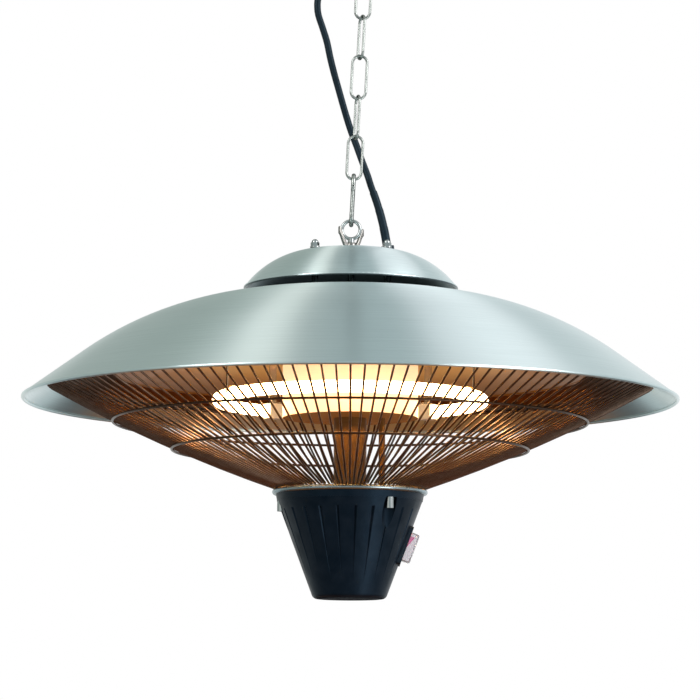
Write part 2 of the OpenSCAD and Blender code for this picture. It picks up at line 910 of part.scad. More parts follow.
// Quartz lamp: an open ring with ceramic ends, hung from the reflector
lamp_from = 90 + lamp_gap / 2;
lamp_sweep = 360 - lamp_gap;
module on_lamp(turn) {
  rotate([0, 0, turn])
    translate([lamp_r, 0, lamp_z])
      children();
}
module lamp_tube() {
  color("khaki")
    on_heater()
      translate([0, 0, lamp_z])
        rotate([0, 0, lamp_from])
          rotate_extrude(angle = lamp_sweep)
            translate([lamp_r, 0])
              difference() {
                circle(d = lamp_d);
                circle(d = lamp_d - 2 * lamp_wall);
              }
}
module lamp_filament() {
  color("orange")
    on_heater()
      translate([0, 0, lamp_z])
        bend(lamp_r, lamp_d - 2 * lamp_wall - 2 * loose, lamp_from + 2, lamp_sweep - 4);
}
module lamp_end_caps() {
  color("ivory")
    on_heater()
      for (s = [-1, 1]) {
        on_lamp(90 + s * lamp_gap / 2)
          translate([-end_cap_w / 2, s > 0 ? -end_cap_len - seat : seat, -end_cap_w / 2])
            cube([end_cap_w, end_cap_len, end_cap_w]);
      }
}
module lamp_brackets() {
  bracket_t = 1.5;
  top = reflector_under(lamp_r + end_cap_w / 2 + 2) - loose;
  low = lamp_z + end_cap_w / 2 + seat;
  color("silver")
    on_heater()
      for (s = [-1, 1]) {
        on_lamp(90 + s * lamp_gap / 2)
          translate([0, -s * end_cap_len / 2, -lamp_z]) {
            translate([-end_cap_w / 2, -end_cap_len / 2, low])
              cube([end_cap_w, end_cap_len, bracket_t]);
            translate([-bracket_t / 2, -end_cap_len / 4, low])
              cube([bracket_t, end_cap_len / 2, top - low]);
          }
      }
}
module lamp_supports() {
  hanger_d = 2;
  clip = lamp_d / 2 + seat + hanger_d / 2;
  top = reflector_under(lamp_r + clip + hanger_d / 2) - loose;
  color("silver")
    on_heater()
      for (a = [-30, 90 + 180, 210]) {
        on_lamp(a) {
          upright()
            bend(clip, hanger_d, 0, 270);
          translate([clip, 0, -lamp_z])
            rod(hanger_d, lamp_z, top);
        }
      }
}

// Grille: bowed radial wires on hoops, clamped by the collar
module grille_wires() {
  color("peru")
    on_heater()
      for (i = [0:wire_count - 1]) {
        rotate([0, 0, 360 / wire_count * i - 90])
          translate([bow_x, 0, bow_z])
            upright()
              bend(bow_r, wire_d, chord_deg - 90 - bow_half, 2 * bow_half + tip_extra);
      }
}
module grille_hoops() {
  color("peru")
    on_heater() {
      hoop(hoop_1_d / 2, wire_line(hoop_1_d / 2, -hoop_gap), hoop_wire);
      hoop(hoop_2_d / 2, wire_line(hoop_2_d / 2, -hoop_gap), hoop_wire);
    }
}
module grille_outer_ring() {
  color("peru")
    on_heater()
      hoop(ring_r, ring_z, ring_wire);
}
nose_steps = 8;
nose_r = grille_collar_t / 2;
nose_points = [
  for (i = [0:nose_steps]) let (a = -90 + 180 * i / nose_steps)
    [grille_collar_d / 2 - nose_r + nose_r * cos(a), collar_low + nose_r + nose_r * sin(a)]
];
module grille_collar() {
  color("silver")
    on_heater()
      difference() {
        rotate_extrude()
          polygon(concat([[0, collar_low]], nose_points, [[0, -grille_drop]]));
        rod(12, collar_low - 1, -grille_drop + 1);
        for (a = screw_turns) {
          rotate([0, 0, a])
            translate([0, -screw_circle_d / 2, 0])
              rod(screw_d + 2 * seat, collar_low - 1, -grille_drop + 1);
        }
      }
}

// Cone housing with grooves, scoops for its screws and a window for the switch
edge_steps = 6;
edge_points = [
  for (i = [0:edge_steps]) let (a = -cone_deg - (90 - cone_deg) * i / edge_steps)
    [edge_r + cone_edge * cos(a), edge_z + cone_edge * sin(a)]
];
module cone_section() {
  polygon(concat(
    [
      [0, collar_low], [flange_d / 2, collar_low], [flange_low_d / 2, flange_low],
      [cone_top_d / 2, flange_low]
    ],
    edge_points,
    [[0, -cone_drop]]
  ));
}
module cavity_section() {
  shift = cone_wall / cos(cone_deg);
  bend_z = -cone_drop + (cavity_r + shift - cone_low_d / 2) / tan(cone_deg);
  low_r = cone_r(cavity_low) - shift - cone_edge / 2;
  polygon([
    [0, cavity_low], [low_r, cavity_low], [cavity_r, bend_z], [cavity_r, collar_low + 1],
    [0, collar_low + 1]
  ]);
}
groove_bar = 6;
groove_len = 71;
groove_from = flange_low - 8;
module groove() {
  edge = groove_bar / sqrt(2);
  translate([0, -cone_r(groove_from), groove_from])
    rotate([180 + cone_deg, 0, 0])
      translate([0, edge - groove_depth, 0])
        rotate([-atan(groove_depth / groove_len), 0, 0])
          rotate([0, 0, 45])
            translate([-groove_bar / 2, -groove_bar / 2, 0])
              cube([groove_bar, groove_bar, groove_len + 6]);
}
module cone_housing() {
  step = 360 / groove_count;
  color("darkslategray")
    on_heater()
      difference() {
        rotate_extrude()
          cone_section();
        rotate_extrude()
          cavity_section();
        for (i = [0:groove_count - 1]) {
          turn = screw_turns[1] + step * i;
          if (abs(turn - 90) > bezel_w / 2 && abs(turn - 450) > bezel_w / 2) {
            rotate([0, 0, turn])
              groove();
          }
        }
        for (a = screw_turns) {
          rotate([0, 0, a])
            translate([0, -screw_circle_d / 2, 0]) {
              rod(scoop_d, flange_low - scoop_len, head_seat);
              rod(screw_d + 2 * seat, flange_low - 1, collar_low + 1);
            }
        }
        on_switch()
          translate([-12, -body_w - seat, -body_h - seat])
            cube([24, 2 * (body_w + seat), 2 * (body_h + seat)]);
      }
}
module cone_screws() {
  color("silver")
    on_heater()
      for (a = screw_turns) {
        rotate([0, 0, a])
          translate([0, -screw_circle_d / 2, 0])
            difference() {
              union() {
                rod(screw_head_d, head_top - screw_head_h, head_top);
                rod(screw_d, flange_low - 1, -grille_drop);
              }
              hexagon(screw_d, head_top - screw_head_h - 1, head_top - screw_head_h + 4);
            }
      }
}

// Rocker switch under a clear boot
module switch_bezel() {
  round_r = 3;
  color("black")
    on_heater()
      difference() {
        on_switch()
          translate([-6, 0, 0])
            facing_x()
              linear_extrude(bezel_t + 6)
                difference() {
                  union() {
                    square([bezel_w - 2 * round_r, bezel_h], center = true);
                    square([bezel_w, bezel_h - 2 * round_r], center = true);
                    for (x = [-1, 1], y = [-1, 1]) {
                      translate([x * (bezel_w / 2 - round_r), y * (bezel_h / 2 - round_r)])
                        circle(r = round_r);
                    }
                  }
                  square([2 * (body_w + seat), 2 * (body_h + seat)], center = true);
                }
        low = -cone_drop;
        translate([0, 0, low])
          cylinder(r1 = cone_r(low) + seat, r2 = cone_r(flange_low) + seat, h = flange_low - low);
      }
}
module switch_body() {
  color("dimgray")
    on_heater()
      on_switch()
        difference() {
          translate([-body_back, -body_w, -body_h])
            cube([body_back + bezel_t, 2 * body_w, 2 * body_h]);
          translate([pivot_x - rocker_half + 1, -well_w, -well_h])
            cube([2 * rocker_half, 2 * well_w, 2 * well_h]);
          translate([pivot_x, 0, 0])
            upright()
              cylinder(d = trunnion_d + 2 * turning, h = 3 * body_w, center = true);
        }
}
module switch_rocker() {
  rise = rocker_half * tan(rocker_deg - 1);
  deep = pivot_depth + 5;
  color("crimson")
    on_heater()
      on_switch()
        translate([pivot_x, 0, 0])
          rotate([0, rocker_deg, 0])
            upright() {
              linear_extrude(rocker_w, center = true)
                polygon([
                  [pivot_depth, 0], [pivot_depth + rise, rocker_half], [pivot_depth - deep, rocker_half - 1],
                  [pivot_depth - deep, 1 - rocker_half], [pivot_depth + rise, -rocker_half]
                ]);
              cylinder(d = trunnion_d, h = 2 * (body_w - loose), center = true);
            }
}
module switch_boot() {
  boot_half = rocker_half + 2.6;
  side = body_w + 0.6;
  color("lavender")
    on_heater()
      on_switch()
        difference() {
          translate([bezel_t + seat, -side, -boot_half])
            cube([boot_h, 2 * side, 2 * boot_half]);
          translate([bezel_t - 1, boot_wall - side, boot_wall - boot_half])
            cube([boot_h + 1 + seat - boot_wall, 2 * (side - boot_wall), 2 * (boot_half - boot_wall)]);
        }
}

// Cord gland and sleeve on the cap
module cord_gland() {
  color("black")
    on_heater()
      difference() {
        translate([gland_x, gland_y, gland_foot])
          rotate([0, -sleeve_low_deg, 0])
            rod(gland_d, -3, gland_h);
        translate([gland_x - gland_d, gland_y - gland_d, gland_foot - 10])
          cube([2 * gland_d, 2 * gland_d, 10]);
      }
}
module cord_sleeve() {
  span = (sleeve_top_deg - sleeve_low_deg) / 3;
  color("black")
    on_heater()
      translate([sleeve_foot[0] - sleeve_bend * cos(sleeve_low_deg), gland_y, sleeve_foot[1] - sleeve_bend * sin(sleeve_low_deg)])
        upright()
          for (i = [0:2]) {
            bend(sleeve_bend, sleeve_d - i * (sleeve_d - cord_d) / 4, sleeve_low_deg + i * span, i < 2 ? span + 0.1 : span);
          }
}

echo(coil_gap = coil_gap);
ceiling_hook();
cord_tie();
cord_coil();
power_cord();
plug_body();
plug_pins();
link_1();
link_2();
link_3();
link_4();
link_5();
snap_hook();
gate_rivet();
snap_gate();
eye_bolt();
wing_nut();
eye_washer();
eye_lock_nut();
top_cap();
cap_nuts();
cap_washers();
cap_studs();
cap_spacers();
shade();
liner_spacers();
reflector();
hub_drum();
terminal_block();
inner_lead();
centre_post();
lead_tube();
lamp_tube();
lamp_filament();
lamp_end_caps();
lamp_brackets();
lamp_supports();
grille_wires();
grille_hoops();
grille_outer_ring();
grille_collar();
cone_housing();
cone_screws();
switch_bezel();
switch_body();
switch_rocker();
switch_boot();
cord_gland();
cord_sleeve();
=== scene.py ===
"""Hanging infrared patio heater, dressed for its studio picture."""
import bpy
import json
import math
from mathutils import Matrix, Vector


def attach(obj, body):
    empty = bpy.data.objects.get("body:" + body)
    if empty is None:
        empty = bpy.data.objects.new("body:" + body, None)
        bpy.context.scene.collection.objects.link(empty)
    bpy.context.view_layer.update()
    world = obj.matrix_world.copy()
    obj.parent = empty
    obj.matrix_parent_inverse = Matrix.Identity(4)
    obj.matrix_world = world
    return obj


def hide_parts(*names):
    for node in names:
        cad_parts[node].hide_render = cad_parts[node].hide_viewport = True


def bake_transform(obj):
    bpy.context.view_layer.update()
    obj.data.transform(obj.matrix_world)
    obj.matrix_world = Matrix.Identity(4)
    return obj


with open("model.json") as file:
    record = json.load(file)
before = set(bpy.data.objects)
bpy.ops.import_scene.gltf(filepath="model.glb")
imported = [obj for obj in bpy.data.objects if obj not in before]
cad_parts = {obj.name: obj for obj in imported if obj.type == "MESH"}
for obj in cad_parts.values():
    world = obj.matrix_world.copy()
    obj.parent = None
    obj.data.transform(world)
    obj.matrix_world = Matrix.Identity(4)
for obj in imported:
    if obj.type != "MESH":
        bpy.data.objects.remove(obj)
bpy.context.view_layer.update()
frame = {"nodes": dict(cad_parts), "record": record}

MM = 0.001
HEATER = Vector((-11.2501, 0.0, -499.9251)) * MM    # the middle of the lamp's ring
LAMP_RING = 121.0                                   # the ring's radius in millimetres
CORD_D = 6.4 * MM
PIECE_CREASE, TUBE_CREASE = 35, 50                  # degrees; a sharper edge isn't smoothed


# ---------------------------------------------------------------- camera
CAMERA_PLACE = (-11.76, -3074.67, -831.13)          # millimetres
CAMERA_PITCH, CAMERA_ROLL = 90 + 7.011, 0.266       # degrees
CAMERA_SENSOR, CAMERA_LENS = 36.0, 173.83


def set_camera():
    """A long lens a little under the rim, looking up at the shade."""
    lens = bpy.data.cameras.new("studio_camera")
    lens.sensor_width = CAMERA_SENSOR
    lens.lens = CAMERA_LENS
    lens.clip_start, lens.clip_end = 0.05, 60.0
    lens.dof.use_dof = False
    stand = bpy.data.objects.new("studio_camera", lens)
    bpy.context.scene.collection.objects.link(stand)
    stand.location = [c * MM for c in CAMERA_PLACE]
    turn = (Matrix.Rotation(math.radians(CAMERA_PITCH), 4, "X")
            @ Matrix.Rotation(math.radians(CAMERA_ROLL), 4, "Z"))
    stand.rotation_euler = turn.to_euler()
    bpy.context.scene.camera = stand


set_camera()


# ---------------------------------------------------------------- modelling tools
def begin(name, make, **start):
    """Add a primitive to shape, with nothing else selected."""
    bpy.ops.object.select_all(action="DESELECT")
    make(**start)
    piece = bpy.context.active_object
    piece.name = name
    return piece


def pick(*pieces):
    """Select these pieces alone, the first as the active one."""
    bpy.ops.object.select_all(action="DESELECT")
    for piece in pieces:
        piece.select_set(True)
    bpy.context.view_layer.objects.active = pieces[0]


def write_in():
    """Write the selected pieces' place, turn and scale into their meshes."""
    bpy.ops.object.transform_apply(location=True, rotation=True, scale=True)


def box(name, centre, size):
    """A box of that size about the centre, both in millimetres."""
    piece = begin(name, bpy.ops.mesh.primitive_cube_add, size=1,
                  location=[c * MM for c in centre])
    piece.scale = [s * MM for s in size]
    write_in()
    return piece


def choose(piece, kind, test):
    """Go to edit mode with only the faces or edges selected that pass the test."""
    if piece.mode == "EDIT":
        bpy.ops.object.mode_set(mode="OBJECT")
    mesh = piece.data
    for items in (mesh.vertices, mesh.edges, mesh.polygons):
        for item in items:
            item.select = False
    if kind == "FACE":
        for f in mesh.polygons:
            f.select = bool(test(f.center, f.normal))
    else:
        for e in mesh.edges:
            a, b = (mesh.vertices[v].co for v in e.vertices)
            e.select = bool(test((a + b) / 2, (b - a).normalized()))
    bpy.context.tool_settings.mesh_select_mode = (False, kind == "EDGE", kind == "FACE")
    bpy.ops.object.mode_set(mode="EDIT")


def leave():
    """Turn the active piece's faces outwards and leave it in object mode."""
    bpy.ops.object.mode_set(mode="EDIT")
    bpy.ops.mesh.select_all(action="SELECT")
    bpy.ops.mesh.normals_make_consistent(inside=False)
    bpy.ops.object.mode_set(mode="OBJECT")


def put(piece, place):
    """Write the place into the mesh, and smooth the faces but not the corners."""
    pick(piece)
    piece.matrix_world = place @ piece.matrix_world
    write_in()
    bpy.ops.object.shade_smooth_by_angle(angle=math.radians(PIECE_CREASE))


def with_modifier(piece, kind, **settings):
    """Add a modifier with these settings and apply it."""
    m = piece.modifiers.new(kind.lower(), kind)
    for key, value in settings.items():
        setattr(m, key, value)
    pick(piece)
    bpy.ops.object.modifier_apply(modifier=m.name)


def turned(name, rings, sides, tube=True):
    """A ring of edges drawn out through radii and heights in millimetres.

    A tube's last ring is bridged to its first; otherwise both ends are closed.
    """
    r, z = rings[0]
    piece = begin(name, bpy.ops.mesh.primitive_circle_add, vertices=sides, radius=r * MM,
                  location=(0, 0, z * MM))
    write_in()
    bpy.context.tool_settings.mesh_select_mode = (False, True, False)
    bpy.ops.object.mode_set(mode="EDIT")
    bpy.ops.mesh.select_all(action="SELECT")
    for (r0, z0), (r1, z1) in zip(rings, rings[1:]):
        bpy.ops.mesh.extrude_edges_move(
            TRANSFORM_OT_translate={"value": (0, 0, (z1 - z0) * MM)})
        bpy.ops.transform.resize(value=(r1 / r0, r1 / r0, 1), center_override=(0, 0, z1 * MM))
    bpy.ops.mesh.select_all(action="DESELECT")
    bpy.ops.mesh.select_non_manifold()
    if tube:
        bpy.ops.mesh.bridge_edge_loops()
    else:
        bpy.ops.mesh.edge_face_add()
    leave()
    return piece


def joined(name, pieces):
    """The pieces as one object under the new name."""
    pick(*pieces)
    bpy.ops.object.join()
    pieces[0].name = name
    return pieces[0]


# ---------------------------------------------------------------- modelled pieces
def soft_boot():
    """The clear splash boot: a thin soft box with round corners and a foot."""
    low, high, half_width, half_height = 1.3, 8.8, 9.2, 13.6
    corner, brow, dish_edge, dish_depth = 2.6, 1.9, 2.2, 0.35
    wall, rounding, hair, foot_flare = 0.8, 0.15, 0.01, (1, 1.07, 1.045)
    seat, lean = Vector((50.8579, 0, -133)), 20.4072
    piece = box("soft_boot", ((low + high) / 2, 0, 0),
                (high - low, 2 * half_width, 2 * half_height))
    choose(piece, "EDGE", lambda mid, way: abs(way.x) > 0.9)
    bpy.ops.mesh.bevel(offset=corner * MM, segments=5)
    choose(piece, "EDGE", lambda mid, way: mid.x > (high - hair) * MM)
    bpy.ops.mesh.bevel(offset=brow * MM, segments=4)
    choose(piece, "FACE", lambda mid, way: way.x > 0.999)
    bpy.ops.mesh.inset(thickness=dish_edge * MM)
    bpy.ops.transform.translate(value=(-dish_depth * MM, 0, 0))
    choose(piece, "FACE", lambda mid, way: way.x < -0.9)
    bpy.ops.mesh.delete(type="ONLY_FACE")
    choose(piece, "EDGE", lambda mid, way: mid.x < (low + hair) * MM)
    bpy.ops.mesh.extrude_edges_move(TRANSFORM_OT_translate={"value": (0, 0, 0)})
    bpy.ops.transform.resize(value=foot_flare, center_override=(low * MM, 0, 0))
    leave()
    with_modifier(piece, "SOLIDIFY", thickness=wall * MM, offset=-1.0)
    with_modifier(piece, "BEVEL", width=rounding * MM, segments=2, limit_method="ANGLE")
    put(piece, Matrix.Translation(HEATER + seat * MM)
        @ Matrix.Rotation(math.radians(lean), 4, "Y"))
    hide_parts("switch_boot")
    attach(piece, "heater")
    return piece


def wing_nut():
    """A turned hub with two wings drawn up and out from its sides."""
    foot, turn, sides, bite, rounding = 139.9, 40, 40, 0.3, 0.7
    hub_rings = [(3.1, 0), (5.3, 0), (5.75, 0.5), (5.6, 2.0), (4.9, 5.6), (4.4, 6.3),
                 (3.6, 6.4), (3.1, 5.9)]
    hub = turned("wing_hub", [(r, foot + z) for r, z in hub_rings], sides)
    wing = box("wing", (4.9, 0, foot + 2.9), (2.2, 3.0, 5.8))
    # Each step: how far out and up the wing's end goes, and its new thickness and height.
    steps = [((1.7, 2.4), (1.0, 1.10)), ((1.7, 3.4), (1.0, 1.15)), ((1.7, 3.8), (0.95, 1.10)),
             ((1.4, 3.4), (0.95, 1.0)), ((1.2, 1.2), (1.0, 0.9)), ((0.9, -0.4), (0.9, 0.85))]
    for (out, up), (thick, tall) in steps:
        edge = max(v.co.x for v in wing.data.vertices) - bite * MM
        choose(wing, "FACE", lambda mid, way: mid.x > edge and way.x > 0.7)
        bpy.ops.mesh.extrude_region_move(
            TRANSFORM_OT_translate={"value": (out * MM, 0, up * MM)})
        bpy.ops.transform.resize(value=(1, thick, tall))
        bpy.ops.object.mode_set(mode="OBJECT")
    leave()
    with_modifier(wing, "BEVEL", width=rounding * MM, segments=3, limit_method="ANGLE")
    with_modifier(wing, "SUBSURF", levels=1, render_levels=1)
    with_modifier(wing, "MIRROR", use_axis=(True, False, False), use_mirror_merge=False)
    piece = joined("wing_nut_turned", [hub, wing])
    put(piece, Matrix.Translation(HEATER) @ Matrix.Rotation(math.radians(turn), 4, "Z"))
    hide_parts("wing_nut")
    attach(piece, "heater")
    return piece


def moulded_plug():
    """An angled mains plug: a rounded disc with grip dents and a ribbed neck."""
    disc_place, neck_place = Vector((-6.55, -77.4, -110.0)), Vector((-6.55, -85.4, 0))
    grip_low, grip_high, grip_facing, grip_edge, squeeze = 4, 16, 0.955, 1.2, (0.93, 1, 1)
    ribs, rib_foot, rib_pitch, rib_radius, rib_taper, rib_depth = 6, -91.2, 2.8, 6.9, 0.38, 0.9
    disc = turned("plug_disc", [(9, 0), (13.5, 0.5), (16.6, 2.2), (18.2, 5), (18.9, 9),
                                (19, 15.6), (18.6, 16.4), (18.0, 16.6), (18.0, 19.6),
                                (17.6, 20)], 64, tube=False)
    choose(disc, "FACE", lambda mid, way: (grip_low * MM < mid.z < grip_high * MM
                                           and abs(way.x) > grip_facing))
    bpy.ops.mesh.inset(thickness=grip_edge * MM)
    bpy.ops.transform.resize(value=squeeze, center_override=(0, 0, 0))
    leave()
    put(disc, Matrix.Translation(disc_place * MM) @ Matrix.Rotation(math.radians(90), 4, "X"))
    rings = [(7.4, -93.2), (7.2, -92.0)]
    for rib in range(ribs):
        z, r = rib_foot + rib_pitch * rib, rib_radius - rib_taper * rib
        rings += [(r - rib_depth, z), (r - rib_depth, z + 1.0), (r, z + 1.3), (r, z + 2.5)]
    rings += [(4.1, -73.6), (3.6, -73.1), (3.25, -73.1), (3.25, -93.2)]
    neck = turned("plug_neck", rings, 40)
    put(neck, Matrix.Translation(neck_place * MM))
    piece = joined("moulded_plug", [disc, neck])
    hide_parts("plug_body")
    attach(piece, "ceiling")
    return piece


boot = soft_boot()
wings = wing_nut()
plug = moulded_plug()


# ---------------------------------------------------------------- cord
SAME_POINT = 0.2 * MM                               # closer points on a line count as one


def smooth_through(points, step):
    """A smooth line through the points, with a new point about every step."""
    pts = [Vector(p) for p in points]
    padded = [2 * pts[0] - pts[1]] + pts + [2 * pts[-1] - pts[-2]]
    line = []
    for i in range(1, len(padded) - 2):
        p0, p1, p2, p3 = padded[i - 1:i + 3]
        n = max(1, round((p2 - p1).length / step))
        for k in range(n):
            t = k / n
            line.append(0.5 * (2 * p1 + (p2 - p0) * t + (2 * p0 - 5 * p1 + 4 * p2 - p3) * t * t
                               + (3 * p1 - p0 - 3 * p2 + p3) * t ** 3))
    line.append(pts[-1])
    return line


def cut_off(line, length):
    """The first part of the line, of that length, and the rest."""
    first, run = [line[0]], 0.0
    for i, (a, b) in enumerate(zip(line, line[1:])):
        d = (b - a).length
        if run + d >= length:
            cut = a.lerp(b, (length - run) / d)
            rest = [cut] + [p for p in line[i + 1:] if (p - cut).length > SAME_POINT]
            if (cut - first[-1]).length < SAME_POINT:
                first.pop()
            return first + [cut], rest
        first.append(b)
        run += d
    return first, []


def tube_along(name, line, d, sides=4):
    """A round tube along the line, as a mesh with closed ends."""
    data = bpy.data.curves.new(name, "CURVE")
    data.dimensions = "3D"
    data.bevel_depth = d / 2
    data.bevel_resolution = sides
    data.use_fill_caps = True
    spline = data.splines.new("POLY")
    spline.points.add(len(line) - 1)
    for p, co in zip(spline.points, line):
        p.co = (*co, 1.0)
    tube = bpy.data.objects.new(name, data)
    bpy.context.scene.collection.objects.link(tube)
    pick(tube)
    bpy.ops.object.convert(target="MESH")
    tube = bpy.context.view_layer.objects.active
    bpy.ops.object.shade_smooth_by_angle(angle=math.radians(TUBE_CREASE))
    return tube


# The cord in millimetres: it leaves the sleeve on the cap and ends in a coil by the hook.
CORD_FROM = Vector((9.05185, 10.0, -304.735))
CORD_WAY = Vector((-0.350207, 0.0, 0.936672))
STRAIGHT, PLUG_LEAD = 6.4, 15.0                     # straight at both ends, and into the plug
COIL_X, COIL_Y, COIL_Z = -10.0, -37.0, -58.0
COIL_OUT, COIL_PITCH, COIL_LAYER, COIL_TURNS = 48.4, 7.0, 6.9, 6.5
CROSS_AT, CROSS_TURNS = 3.0, 0.5                    # the turns where it goes to the other layer
COIL_STEPS = 48                                     # points in one turn
RUN = 39.2 * MM
FREE_RUNS = 7


def coil_point(t):
    """The coil's middle line after t turns: inwards in one layer, outwards in the next."""
    r = COIL_OUT - COIL_PITCH * min(t, COIL_TURNS - t)
    over = min(max((t - CROSS_AT) / CROSS_TURNS, 0.0), 1.0)
    x = COIL_X + COIL_LAYER * (over - 0.5)
    a = 2 * math.pi * t
    return Vector((x, COIL_Y + r * math.cos(a), COIL_Z + r * math.sin(a)))


coil_mid = [coil_point(i / COIL_STEPS) for i in range(int(COIL_STEPS * COIL_TURNS) + 1)]
coil_start = coil_mid[0] - Vector((0, 0, STRAIGHT))
coil_end = coil_mid[-1] - Vector((0, 0, PLUG_LEAD))
route = [CORD_FROM, CORD_FROM + STRAIGHT * CORD_WAY] + [Vector(p) for p in [
    (3.5, 12, -288), (-1.5, 14.5, -274.5), (-6.5, 17.3, -260), (-11.5, 18.6, -246.5),
    (-16, 18.6, -232.5), (-20, 17.6, -219), (-24, 16.2, -205), (-28, 14.8, -191),
    (-31.5, 13.6, -177), (-34.5, 12.7, -163), (-38.5, 12, -150), (-42.5, 11.5, -138),
    (-43.5, 11.4, -131), (-43.4, 11.4, -124), (-41.6, 11.4, -117), (-38.4, 11.4, -110.5),
    (-33.9, 11.4, -104.6), (-28.5, 11.4, -100), (-23.2, 11.4, -95.6), (-18.6, 11.4, -89.8),
    (-15.4, 11.4, -83.2), (-13.7, 11.4, -76.5),
]] + [coil_start - Vector((0, 0, STRAIGHT)), coil_start]

coil_line = (smooth_through([p * MM for p in route], 3 * MM)
             + [p * MM for p in coil_mid + [coil_end]])
free_parts = []
for _ in range(FREE_RUNS):
    part, coil_line = cut_off(coil_line, RUN)
    free_parts.append(part)

cord_pieces = []
for n, part in enumerate(free_parts):
    piece = tube_along("cord_run_%d" % (n + 1), part, CORD_D)
    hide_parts("power_cord")
    cord_pieces.append(piece)

coil = tube_along("cord_winding", coil_line, CORD_D)
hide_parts("cord_coil")
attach(coil, "ceiling")

# Each run's place is written into its mesh.
for n, (piece, part) in enumerate(zip(cord_pieces, free_parts)):
    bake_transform(piece)


# ---------------------------------------------------------------- lamp wire
def lamp_wire():
    """The wound wire in the quartz tube, one fine helix from end to end."""
    wound, thickness, turns, steps_per_turn = 2.6, 0.9, 150, 12
    start, sweep = math.radians(133), math.radians(274)
    line = []
    steps = turns * steps_per_turn
    for i in range(steps + 1):
        a = start + sweep * i / steps
        b = 2 * math.pi * turns * i / steps
        r = LAMP_RING + wound * math.cos(b)
        line.append(HEATER + Vector((r * math.cos(a), r * math.sin(a), wound * math.sin(b))) * MM)
    obj = tube_along("lamp_wire", line, thickness * MM, sides=1)
    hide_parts("lamp_filament")
    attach(obj, "heater")
    return obj


wire = lamp_wire()


# ---------------------------------------------------------------- shader tools
def node(tree, kind, **settings):
    """A new shader node with these settings."""
    n = tree.nodes.new("ShaderNode" + kind)
    for key, value in settings.items():
        setattr(n, key, value)
    return n


def feed(tree, value, into):
    """Link a socket into the input, or set a plain value on it."""
    if isinstance(value, bpy.types.NodeSocket):
        tree.links.new(value, into)
    else:
        into.default_value = value


def feed_all(tree, n, **values):
    """Feed a node's inputs by name, with _ for a space."""
    for key, value in values.items():
        feed(tree, value, n.inputs[key.replace("_", " ")])


def math_node(tree, op, *values, clamp=False):
    """The result of one sum on sockets and plain numbers."""
    n = node(tree, "Math", operation=op, use_clamp=clamp)
    for value, into in zip(values, n.inputs):
        feed(tree, value, into)
    return n.outputs[0]


def parts(tree, vector):
    """The x, y and z of a vector."""
    n = node(tree, "SeparateXYZ")
    feed(tree, vector, n.inputs[0])
    return n.outputs


def length_of(tree, vector):
    """The length of a vector."""
    n = node(tree, "VectorMath", operation="LENGTH")
    feed(tree, vector, n.inputs[0])
    return n.outputs["Value"]


def vector_of(tree, x, y):
    """A flat vector."""
    n = node(tree, "CombineXYZ")
    feed(tree, x, n.inputs[0])
    feed(tree, y, n.inputs[1])
    return n.outputs[0]


def noise(tree, vector, scale, detail=2.0, roughness=0.5, flat=False):
    """A cloudy pattern, in two dimensions where it is flat."""
    n = node(tree, "TexNoise", noise_dimensions="2D" if flat else "3D")
    feed_all(tree, n, Vector=vector, Scale=scale, Detail=detail, Roughness=roughness)
    return n.outputs["Fac"]


def mixed(tree, factor, a, b, kind="RGBA", blend="MIX"):
    """The first value where the factor is 0, and the second where it is 1."""
    n = node(tree, "Mix", data_type=kind, blend_type=blend)
    feed_all(tree, n, Factor=factor, A=a, B=b)
    return n.outputs["Result"]


def spread(tree, value, low, high, to_low=0.0, to_high=1.0):
    """The value carried from one range to another, and held at its ends."""
    n = node(tree, "MapRange")
    feed_all(tree, n, Value=value, From_Min=low, From_Max=high, To_Min=to_low, To_Max=to_high)
    return n.outputs[0]


def ramp(tree, value, stops):
    """Colours by a value, from places and colours in rising order."""
    n = node(tree, "ValToRGB")
    elements = n.color_ramp.elements
    while len(elements) < len(stops):
        elements.new(0.5)
    for e, (at, c) in zip(elements, stops):
        e.position = at
        e.color = (*c, 1.0)
    feed(tree, value, n.inputs[0])
    return n.outputs[0]


def from_axis(tree, position):
    """How far a place is from the upright axis, and its x, y and z."""
    x, y, z = parts(tree, position)
    return length_of(tree, vector_of(tree, x, y)), x, y, z


def lay_out(tree, column_width=240, row_height=280):
    """Stand each node one column to the left of the nodes that it feeds."""
    column = dict.fromkeys(tree.nodes.keys(), 0)
    for _ in tree.nodes:
        for link in tree.links:
            source, target = link.from_node.name, link.to_node.name
            column[source] = max(column[source], column[target] + 1)
    rows = dict.fromkeys(column.values(), 0)
    for n in tree.nodes:
        at = column[n.name]
        n.location = (-column_width * at, -row_height * rows[at])
        rows[at] += 1


# ---------------------------------------------------------------- shader groups
PLACE, FACING = ("Position", "Vector", None), ("Facing", "Vector", None)


def new_group(name, inputs, outputs):
    """An empty node group, with the sockets it takes in and the ones it gives out."""
    g = bpy.data.node_groups.new(name, "ShaderNodeTree")
    for label, kind, value in inputs:
        s = g.interface.new_socket(name=label, in_out="INPUT", socket_type="NodeSocket" + kind)
        if value is not None:
            s.default_value = value
    for label, kind in outputs:
        g.interface.new_socket(name=label, in_out="OUTPUT", socket_type="NodeSocket" + kind)
    return g, g.nodes.new("NodeGroupInput").outputs, g.nodes.new("NodeGroupOutput").inputs


